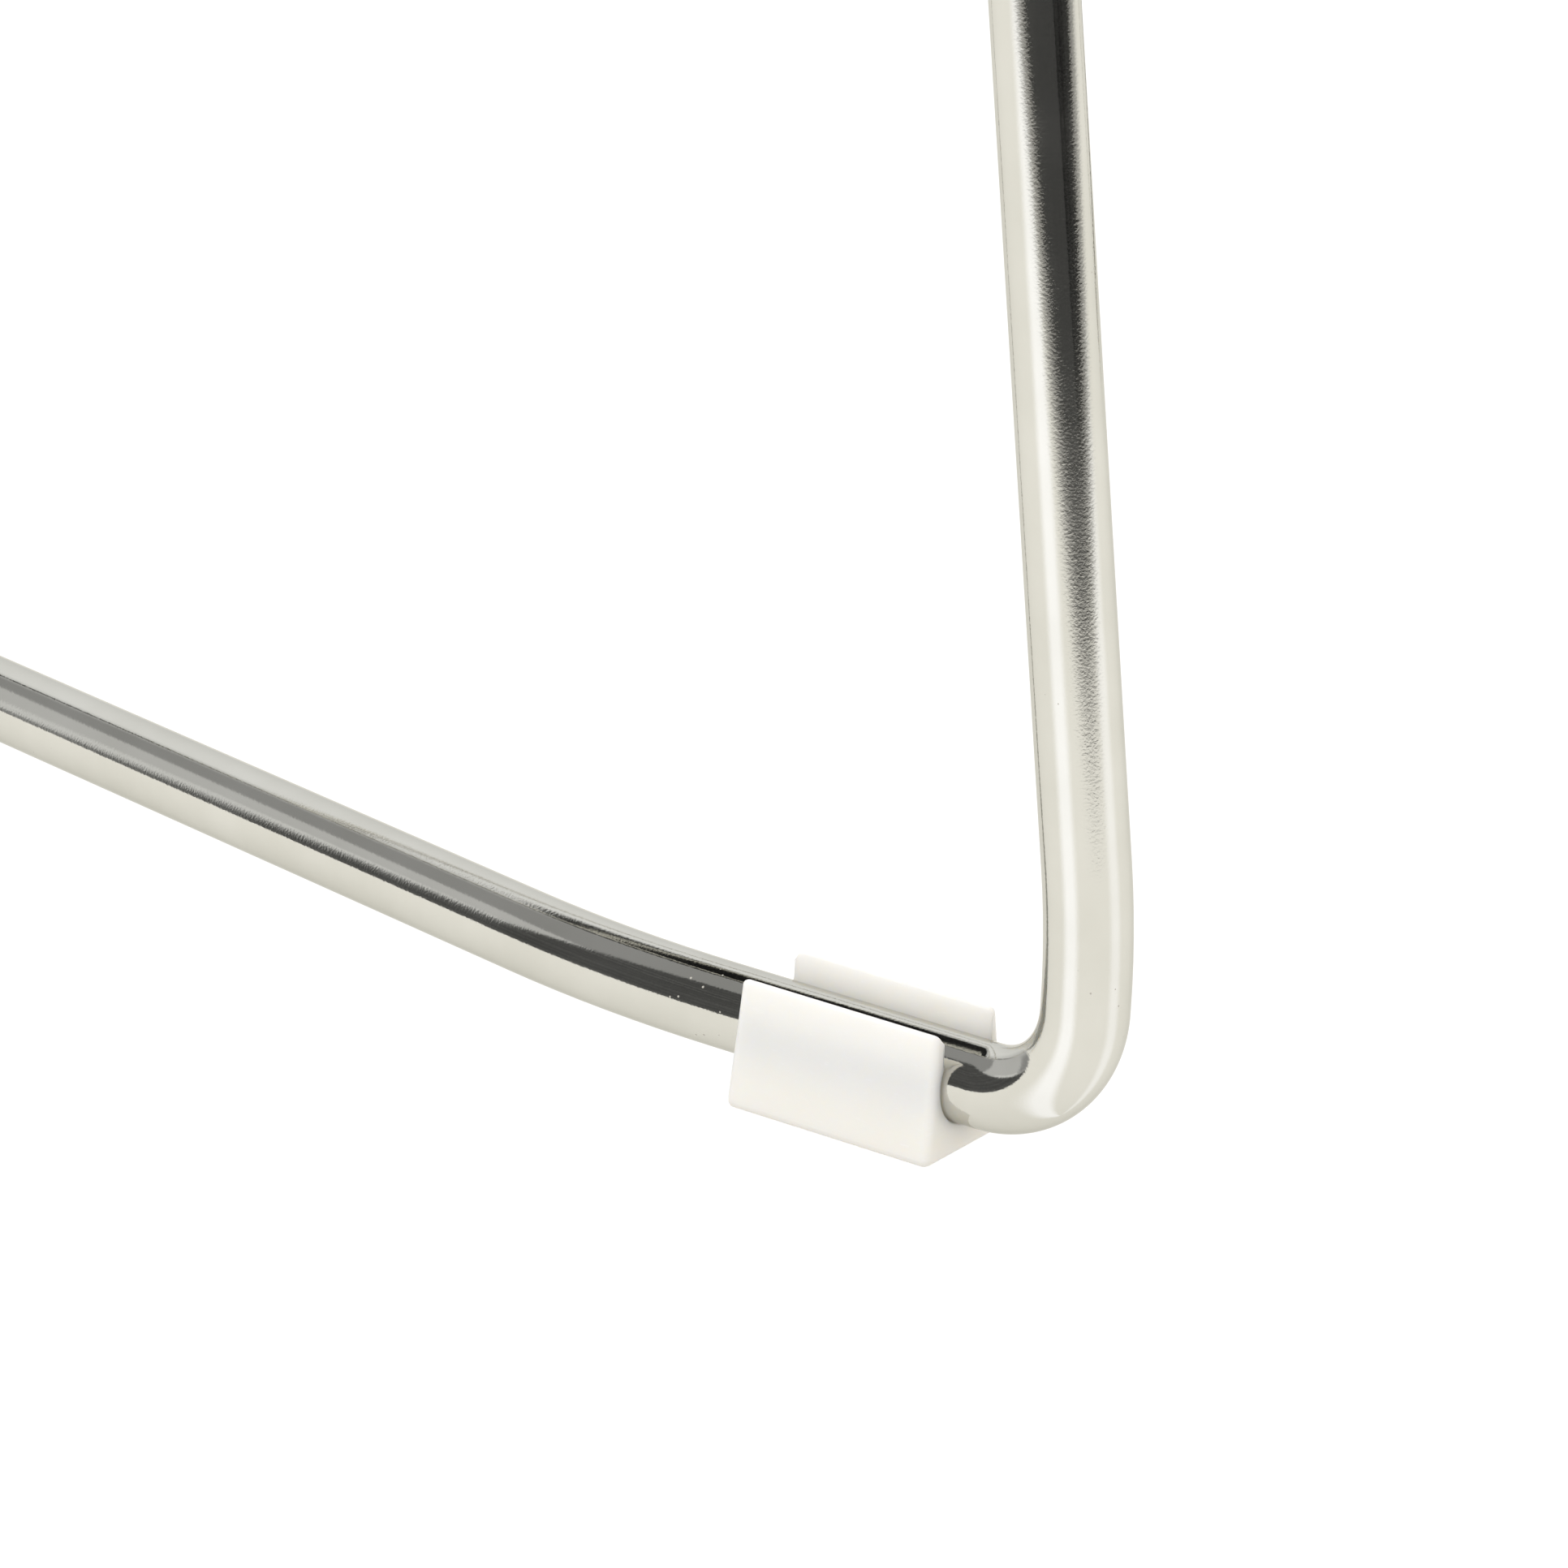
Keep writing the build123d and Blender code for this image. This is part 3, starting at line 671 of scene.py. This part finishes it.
# ---- tray ----
BOARD_EDGE = 0.0008
LINING_COLUMNS = 160
LINING_ROWS = 82
LINING_EDGE = 0.0009
LINING_SETTLED = 0.0002
# height, frequency and seed of each unevenness in the felt
LINING_WAVES = ((0.00012, 90, 0.3), (0.00008, 420, 1.7))


def build_tray():
    for node in ("tray_front", "tray_rear", "tray_floor"):
        softened(node, BOARD_EDGE, "wood", "tray")
    for node in ("tray_side_left", "tray_side_right"):
        softened(node, BOARD_EDGE, "wood_across", "tray")
    for node in ("tray_stop_front", "tray_stop_rear"):
        softened(node, BOARD_EDGE, "wood", "tray")


def build_lining():
    """Felt sheet with a softly uneven top and rounded edges."""
    low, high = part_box("tray_lining")
    sections = []
    for j in range(LINING_ROWS + 1):
        y = low[1] + (high[1] - low[1]) * j / LINING_ROWS
        section = []
        for i in range(LINING_COLUMNS + 1):
            x = low[0] + (high[0] - low[0]) * i / LINING_COLUMNS
            inset = min(x - low[0], high[0] - x, y - low[1], high[1] - y)
            wave = sum(height * noise.noise(Vector((x * pace, y * pace, seed)))
                       for height, pace, seed in LINING_WAVES)
            top = high[2] - LINING_SETTLED - quarter_round(inset, LINING_EDGE) + wave
            section.append(Vector((x, y, min(top, high[2]))))
        section += [Vector((p.x, p.y, low[2])) for p in reversed(section)]
        sections.append(section)
    verts, faces = loft(sections)
    piece = add_piece("felt_lining", verts, faces, "felt", "tray", ["tray_lining"], 60)


# ---- hanger: underside one arc, top another, lower and swept forward towards the tips ----
HANGER_UNDER_RADIUS = 0.5061
HANGER_DEPTH = 0.048
HANGER_END_DEPTH = 0.027
HANGER_FRONT = (-0.004, -0.026)
HANGER_BACK = (0.026, 0.012)
HANGER_TIP_ROUND = 0.013
HANGER_TIP_THINNING = 0.98
HANGER_TIP_LOWERING = 0.75
HANGER_TOP_SQUARENESS = 0.62
HANGER_UNDER_SQUARENESS = 0.42
HANGER_SECTION_POINTS = 48
HANGER_STEPS = 120
HANGER_TIP_GAP = 0.00002
BORE_SIDES = 48
BORE_FIT = 0.00005
BORE_HEADROOM = 0.0002


def parabola(x, ends, half):
    """Value that runs from the middle one of a pair at x = 0 to the tip one at x = half."""
    middle, tip = ends
    return middle + (tip - middle) * (x / half) ** 2


def hanger_section(x, box):
    """Rounded section of the shoulder form at x, in the plane across X."""
    half, top = box[1][0], box[1][2]
    centre = top - HANGER_DEPTH - HANGER_UNDER_RADIUS
    under = centre + math.sqrt(HANGER_UNDER_RADIUS ** 2 - x ** 2)
    tip_over = centre + math.sqrt(HANGER_UNDER_RADIUS ** 2 - half ** 2) + HANGER_END_DEPTH
    drop = top - tip_over
    over_radius = (half ** 2 + drop ** 2) / (2 * drop)
    over = top - over_radius + math.sqrt(over_radius ** 2 - x ** 2)
    front = parabola(x, HANGER_FRONT, half)
    back = parabola(x, HANGER_BACK, half)
    shrink = quarter_round(half - abs(x), HANGER_TIP_ROUND) / HANGER_TIP_ROUND
    middle_y, middle_z = (front + back) / 2, (under + over) / 2
    half_y = (back - front) / 2 * (1 - HANGER_TIP_THINNING * shrink)
    half_z = (over - under) / 2 * (1 - HANGER_TIP_LOWERING * shrink)
    points = []
    for k in range(HANGER_SECTION_POINTS):
        angle = 2 * math.pi * k / HANGER_SECTION_POINTS
        cos, sin = math.cos(angle), math.sin(angle)
        squareness = HANGER_TOP_SQUARENESS if sin > 0 else HANGER_UNDER_SQUARENESS
        y = math.copysign(abs(cos) ** squareness, cos)
        z = math.copysign(abs(sin) ** squareness, sin)
        points.append(Vector((x, middle_y + half_y * y, middle_z + half_z * z)))
    return points


def bore_tool(low, high):
    """Upright cylinder from the floor to just above a sleeve's top, a little wider than it."""
    centre = Vector(((low[0] + high[0]) / 2, 0, high[2] / 2 + BORE_HEADROOM / 2))
    radius = (high[0] - low[0]) / 2 + BORE_FIT
    mesh = bpy.data.meshes.new("bore")
    cutter = bmesh.new()
    bmesh.ops.create_cone(cutter, cap_ends=True, segments=BORE_SIDES, radius1=radius, radius2=radius,
                          depth=high[2] + BORE_HEADROOM, matrix=Matrix.Translation(centre))
    cutter.to_mesh(mesh)
    cutter.free()
    tool = bpy.data.objects.new("bore_tool", mesh)
    bpy.context.collection.objects.link(tool)
    return tool


def cut_bores(piece):
    """Blind bores for the brass sleeves, cut up from the underside."""
    for side in ("left", "right"):
        tool = bore_tool(*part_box(f"hanger_sleeve_{side}"))
        change = piece.modifiers.new("bore", "BOOLEAN")
        change.operation = "DIFFERENCE"
        change.solver = "EXACT"
        change.object = tool
        bpy.context.view_layer.update()
        graph = bpy.context.evaluated_depsgraph_get()
        cut = bpy.data.meshes.new_from_object(piece.evaluated_get(graph))
        piece.modifiers.remove(change)
        piece.data = cut
        bpy.data.objects.remove(tool)
    piece.data.shade_smooth()
    piece.data.set_sharp_from_angle(angle=math.radians(SHARP_ANGLE))


def build_hanger():
    """Shoulder form lofted from tip to tip, with closer sections near the tips."""
    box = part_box("hanger_body")
    half = box[1][0]
    xs = [half * math.sin(math.pi / 2 * (2 * i / HANGER_STEPS - 1)) for i in range(HANGER_STEPS + 1)]
    xs[0], xs[-1] = -half + HANGER_TIP_GAP, half - HANGER_TIP_GAP
    verts, faces = loft([hanger_section(x, box) for x in xs])
    piece = add_piece("shoulder_form", verts, faces, "wood", "hanger", ["hanger_body"])
    cut_bores(piece)


# ---- studio: floor, lights, surroundings; azimuths run from +Y towards +X, in degrees ----
FLOOR_RADIUS = 8.0
FLOOR_SIDES = 96
TABLE_COLOUR = (1.02, 1.0, 0.94)
# glow colour of the painted pools of light on the table, which stand in for side lamps
PAINTED_POOL_COLOUR = (1.45, 1.45, 1.50)
DIM_FLOOR = (0.01, 0.01, 0.008)
# distance from the corner over which the mirrored table gives way to the dark room
TABLE_FADE = (1.0, 2.8)
# floor as metal, matt surfaces and the camera get it: glow (linked for metal), strength, paint
FLOOR_IN_METAL = (0.72, 0.31)
FLOOR_BOUNCE = ((1.0, 0.945, 0.865), 0.70, 0.0)
FLOOR_SEEN = ((1.0, 1.0, 1.0), 0.93, 0.15)
BACKDROP_STRENGTH = 1.1
# wedges of directions: centre azimuth, half width, softness
DARK_SIDE = (-172, 108, 10)
# the next two wedges are painted pools of light in the table's glow, standing in for side lamps; the
# share dims the right one
LEFT_PAINTED_POOL = (-91, 16, 10)
RIGHT_PAINTED_POOL = (154, 13, 9)
RIGHT_PAINTED_POOL_SHARE = 0.6
ROOM_LEFT = (-58, 22, 14)
SCREEN_STRIP = (-40.5, 1.5, 1.0)
SKY_LEFT = (-95, 80, 40)
SKY_BEHIND = (44, 45, 25)
# soft edges: angle where it starts and angle where it is complete
HORIZON = (-0.6, 0.2)
SCREEN_TOP = (35.5, 38.0)
STRIP_TOP = (26, 22)
WALL_EDGE = (-3, 17)
BEAM_UNDERSIDE = (48.3, 50.0)
BEAM_END = (0, 4)
SCREEN_LEFT = (-44.5, -41.5)
WALL_RIGHT = (62, 58)
LOW_LINE_TOP = (8, 4)
LOW_LINE_END = (0, -20)
SKY_HIGH = (15, 80)
BEAM_SLANT = 0.27
# mirrored tones, 1 is white
ROOM_TONE = 0.002
ROOM_LEFT_TONE = 0.07
SCREEN_TONE = 0.64
SCREEN_TOP_TONE = 0.35
STRIP_TONE = 0.2
WALL_TONE = 1.0
BEAM_TONE = 0.01
LOW_LINE_TONE = 0.10
LOW_LINE_SHARE = 0.55
# streaks in the dim room: how many, how bright
UPRIGHT_STREAKS = (30.0, 0.03)
LEVEL_STREAKS = (24.0, 0.05)
STREAK_EDGES = (0.48, 0.66)
SKY_FRONT_COLOUR = (0.66, 0.585, 0.48)
SKY_LEFT_COLOUR = (1.09, 1.08, 1.05)
SKY_BEHIND_COLOUR = (1.9, 1.88, 1.82)
SKY_HIGH_COLOUR = (1.5, 1.48, 1.45)
# soft boxes: name, place, watts
SOFT_BOXES = (("soft_left", (-1.1, -0.9, 1.7), 3.0), ("soft_right", (1.3, -0.7, 1.5), 1.5))
SOFT_BOX_SIZE = 1.2
SOFT_BOX_AIM = Vector((0, 0, 0.4))
CAMERA_AZIMUTH = math.radians(43.867)
CAMERA_PITCH = math.radians(21.154)
CAMERA_ROLL = math.radians(1.585)
CAMERA_FROM_CORNER = Vector((-0.54367, -0.51733, 0.32817))
CAMERA_SENSOR = 36
CAMERA_LENS = 169.86
CAMERA_NEAREST = 0.01


def azimuth_node(tree, x, y):
    """Angle from +Y towards +X of a horizontal direction, radians."""
    node = add(tree, "ShaderNodeMath", operation="ARCTAN2")
    tree.links.new(x, node.inputs[0])
    tree.links.new(y, node.inputs[1])
    return node.outputs[0]


def smooth_step(tree, value, start, end):
    """0 up to start, 1 from end on; start may be the larger one."""
    node = add(tree, "ShaderNodeMapRange", interpolation_type="SMOOTHSTEP")
    tree.links.new(value, node.inputs["Value"])
    node.inputs["From Min"].default_value = start
    node.inputs["From Max"].default_value = end
    return node.outputs["Result"]


def edge(tree, angle, start, end):
    """Smooth step of an angle, between two angles in degrees."""
    return smooth_step(tree, angle, math.radians(start), math.radians(end))


def around(tree, azimuth, centre, half_width, softness):
    """1 inside a wedge of directions round a centre azimuth, 0 outside; degrees."""
    turned = math_node(tree, "SUBTRACT", azimuth, math.radians(centre))
    wrapped = add(tree, "ShaderNodeMath", operation="WRAP")
    tree.links.new(turned, wrapped.inputs[0])
    wrapped.inputs[1].default_value = math.pi
    wrapped.inputs[2].default_value = -math.pi
    distance = math_node(tree, "ABSOLUTE", wrapped.outputs[0])
    return edge(tree, distance, half_width + softness, half_width - softness)


def sum_of(tree, values):
    total = values[0]
    for value in values[1:]:
        total = math_node(tree, "ADD", total, value)
    return total


def blend_values(tree, factor, first, second):
    """Number mix; each value is a socket or a number."""
    node = add(tree, "ShaderNodeMix", data_type="FLOAT")
    tree.links.new(factor, node.inputs["Factor"])
    for value, socket in ((first, node.inputs["A"]), (second, node.inputs["B"])):
        if isinstance(value, (int, float)):
            socket.default_value = value
        else:
            tree.links.new(value, socket)
    return node.outputs["Result"]


def mixed_shader(tree, factor, first, second):
    node = add(tree, "ShaderNodeMixShader")
    for value, socket in zip((factor, first, second), node.inputs):
        tree.links.new(value, socket)
    return node.outputs[0]


def by_ray(tree, others, in_metal, seen, output_kind):
    """Output with one shader each for matt surfaces' rays, rays off metal and the camera's."""
    path = add(tree, "ShaderNodeLightPath")
    choice = mixed_shader(tree, path.outputs["Is Glossy Ray"], others, in_metal)
    choice = mixed_shader(tree, path.outputs["Is Camera Ray"], choice, seen)
    out = add(tree, output_kind)
    tree.links.new(choice, out.inputs["Surface"])


def table_glow_and_painted_pools(tree, azimuth):
    """Mirrored colour of the lit table: warm white, with brighter wedges of painted light, pools that
    stand in for two side lamps.
    """
    left = around(tree, azimuth, *LEFT_PAINTED_POOL)
    right = math_node(tree, "MULTIPLY", around(tree, azimuth, *RIGHT_PAINTED_POOL), RIGHT_PAINTED_POOL_SHARE)
    return mixed(tree, math_node(tree, "MAXIMUM", left, right), TABLE_COLOUR, PAINTED_POOL_COLOUR)


def glowing_paint(tree, colour, strength, paint):
    """Emission of a colour, fixed or linked, plus a diffuse coat of a grey."""
    glow = add(tree, "ShaderNodeEmission", Strength=strength)
    if isinstance(colour, tuple):
        glow.inputs["Color"].default_value = (*colour, 1)
    else:
        tree.links.new(colour, glow.inputs["Color"])
    coat = add(tree, "ShaderNodeBsdfDiffuse", Color=(paint, paint, paint, 1))
    both = add(tree, "ShaderNodeAddShader")
    tree.links.new(glow.outputs[0], both.inputs[0])
    tree.links.new(coat.outputs[0], both.inputs[1])
    return both.outputs[0]


def floor_mirrored(tree):
    """Mirrored colour of the floor: the lit table near the corner with its painted pools of light,
    dark far out in the room.
    """
    place = add(tree, "ShaderNodeNewGeometry")
    shift = add(tree, "ShaderNodeVectorMath", operation="SUBTRACT")
    tree.links.new(place.outputs["Position"], shift.inputs[0])
    shift.inputs[1].default_value = CORNER
    split = add(tree, "ShaderNodeSeparateXYZ")
    tree.links.new(shift.outputs[0], split.inputs[0])
    azimuth = azimuth_node(tree, split.outputs["X"], split.outputs["Y"])
    distance = add(tree, "ShaderNodeVectorMath", operation="LENGTH")
    tree.links.new(shift.outputs[0], distance.inputs[0])
    fade = smooth_step(tree, distance.outputs["Value"], *TABLE_FADE)
    fade = math_node(tree, "MULTIPLY", fade, around(tree, azimuth, *DARK_SIDE))
    return mixed(tree, fade, table_glow_and_painted_pools(tree, azimuth), DIM_FLOOR)


def build_floor():
    """Round white table top that glows evenly for the camera, so that nearly no shadow shows on it;
    as metal sees it, the glow has painted pools of light.
    """
    mesh = bpy.data.meshes.new("floor")
    shape = bmesh.new()
    bmesh.ops.create_circle(shape, cap_ends=True, segments=FLOOR_SIDES, radius=FLOOR_RADIUS)
    shape.to_mesh(mesh)
    shape.free()
    floor = bpy.data.objects.new("floor", mesh)
    floor.location.z = cad_box[0][2]
    bpy.context.collection.objects.link(floor)
    material = bpy.data.materials.new("lit_table")
    material.use_nodes = True
    tree = material.node_tree
    tree.nodes.clear()
    in_metal = glowing_paint(tree, floor_mirrored(tree), *FLOOR_IN_METAL)
    bounce = glowing_paint(tree, *FLOOR_BOUNCE)
    seen = glowing_paint(tree, *FLOOR_SEEN)
    by_ray(tree, bounce, in_metal, seen, "ShaderNodeOutputMaterial")
    mesh.materials.append(material)


def streaks(tree, value, scale, strength):
    """Thin uneven bands along one angle, like shelves and blinds seen from afar."""
    texture = add(tree, "ShaderNodeTexNoise", noise_dimensions="1D", Scale=scale, Detail=3.0)
    tree.links.new(value, texture.inputs["W"])
    bands = smooth_step(tree, texture.outputs["Fac"], *STREAK_EDGES)
    return math_node(tree, "MULTIPLY", bands, strength)


def room_tone(tree, azimuth, elevation):
    """Dim room beside and in front of the stand, lighter on the left, with faint streaks."""
    left = math_node(tree, "MULTIPLY", around(tree, azimuth, *ROOM_LEFT), ROOM_LEFT_TONE)
    return sum_of(tree, [left, streaks(tree, azimuth, *UPRIGHT_STREAKS),
                         streaks(tree, elevation, *LEVEL_STREAKS), ROOM_TONE])


def screen_tone(tree, azimuth, elevation):
    """Grey screen with a lighter strip, a white wall beside it and a slanted dark beam above."""
    screen = blend_values(tree, edge(tree, elevation, *SCREEN_TOP), SCREEN_TONE, SCREEN_TOP_TONE)
    strip = math_node(tree, "MULTIPLY", around(tree, azimuth, *SCREEN_STRIP), STRIP_TONE)
    strip = math_node(tree, "MULTIPLY", strip, edge(tree, elevation, *STRIP_TOP))
    screen = math_node(tree, "ADD", screen, strip)
    tone = blend_values(tree, edge(tree, azimuth, *WALL_EDGE), screen, WALL_TONE)
    slanted = math_node(tree, "ADD", math_node(tree, "MULTIPLY", azimuth, BEAM_SLANT), elevation)
    beam = math_node(tree, "MULTIPLY", edge(tree, slanted, *BEAM_UNDERSIDE),
                     edge(tree, azimuth, *BEAM_END))
    return blend_values(tree, beam, tone, BEAM_TONE)


def studio_tone(tree, azimuth, elevation):
    """What polished metal mirrors all round: screen and wall, dim room, table below."""
    screen_side = math_node(tree, "MULTIPLY", edge(tree, azimuth, *SCREEN_LEFT),
                            edge(tree, azimuth, *WALL_RIGHT))
    tone = blend_values(tree, screen_side, room_tone(tree, azimuth, elevation),
                        screen_tone(tree, azimuth, elevation))
    low_line = math_node(tree, "MULTIPLY", edge(tree, elevation, *LOW_LINE_TOP),
                         edge(tree, azimuth, *LOW_LINE_END))
    low_line = math_node(tree, "MULTIPLY", low_line, LOW_LINE_SHARE)
    tone = blend_values(tree, low_line, tone, LOW_LINE_TONE)
    grey = add(tree, "ShaderNodeCombineColor")
    for socket in grey.inputs:
        if socket.enabled:
            tree.links.new(tone, socket)
    dark = around(tree, azimuth, *DARK_SIDE)
    below = mixed(tree, dark, table_glow_and_painted_pools(tree, azimuth), DIM_FLOOR)
    return mixed(tree, edge(tree, elevation, *HORIZON), below, grey.outputs[0])


def soft_sky(tree, azimuth, elevation):
    """Light that matt surfaces get: white from the left, behind and above, warm in front."""
    colour = mixed(tree, around(tree, azimuth, *SKY_LEFT), SKY_FRONT_COLOUR, SKY_LEFT_COLOUR)
    colour = mixed(tree, around(tree, azimuth, *SKY_BEHIND), colour, SKY_BEHIND_COLOUR)
    colour = mixed(tree, edge(tree, elevation, *SKY_HIGH), colour, SKY_HIGH_COLOUR)
    sky = add(tree, "ShaderNodeBackground", Strength=1.0)
    tree.links.new(colour, sky.inputs["Color"])
    return sky.outputs[0]


def build_world():
    """Studio round the stand: soft light, what metal mirrors, and plain white for the camera."""
    world = bpy.data.worlds.new("studio")
    bpy.context.scene.world = world
    world.use_nodes = True
    tree = world.node_tree
    tree.nodes.clear()
    place = add(tree, "ShaderNodeTexCoord")
    split = add(tree, "ShaderNodeSeparateXYZ")
    tree.links.new(place.outputs["Generated"], split.inputs[0])
    azimuth = azimuth_node(tree, split.outputs["X"], split.outputs["Y"])
    elevation = math_node(tree, "ARCSINE", split.outputs["Z"])
    in_metal = add(tree, "ShaderNodeBackground", Strength=1.0)
    tree.links.new(studio_tone(tree, azimuth, elevation), in_metal.inputs["Color"])
    seen = add(tree, "ShaderNodeBackground", Color=(1, 1, 1, 1), Strength=BACKDROP_STRENGTH)
    soft = soft_sky(tree, azimuth, elevation)
    by_ray(tree, soft, in_metal.outputs[0], seen.outputs[0], "ShaderNodeOutputWorld")


def build_lights():
    """Two soft boxes that only shape the matt surfaces."""
    for name, place, power in SOFT_BOXES:
        light = bpy.data.lights.new(name, "AREA")
        light.size = SOFT_BOX_SIZE
        light.energy = power
        lamp = bpy.data.objects.new(name, light)
        lamp.location = place
        lamp.rotation_euler = (SOFT_BOX_AIM - Vector(place)).to_track_quat("-Z", "Y").to_euler()
        lamp.visible_glossy = False
        bpy.context.collection.objects.link(lamp)


def build_camera():
    """Long lens on the front left corner, from the left front, looking down 21 degrees."""
    away = Vector((math.sin(CAMERA_AZIMUTH), math.cos(CAMERA_AZIMUTH), 0))
    level = Vector((away.y, -away.x, 0))
    down = Vector((0, 0, -1))
    forward = away * math.cos(CAMERA_PITCH) + down * math.sin(CAMERA_PITCH)
    upward = away * math.sin(CAMERA_PITCH) - down * math.cos(CAMERA_PITCH)
    right = level * math.cos(CAMERA_ROLL) + upward * math.sin(CAMERA_ROLL)
    above = upward * math.cos(CAMERA_ROLL) - level * math.sin(CAMERA_ROLL)
    data = bpy.data.cameras.new("camera")
    data.sensor_width = CAMERA_SENSOR
    data.lens = CAMERA_LENS
    data.clip_start = CAMERA_NEAREST
    camera = bpy.data.objects.new("camera", data)
    basis = Matrix((right, above, -forward)).transposed().to_4x4()
    camera.matrix_world = Matrix.Translation(CORNER + CAMERA_FROM_CORNER) @ basis
    bpy.context.collection.objects.link(camera)
    bpy.context.scene.camera = camera


build_camera()
build_world()
build_floor()
build_lights()
build_side_frames()
build_clips()
build_small_metal()
build_weld_beads()
build_sleeve()
build_tray()
build_lining()
build_hanger()
bpy.context.scene.view_settings.view_transform = "Standard"

bpy.context.view_layer.update()
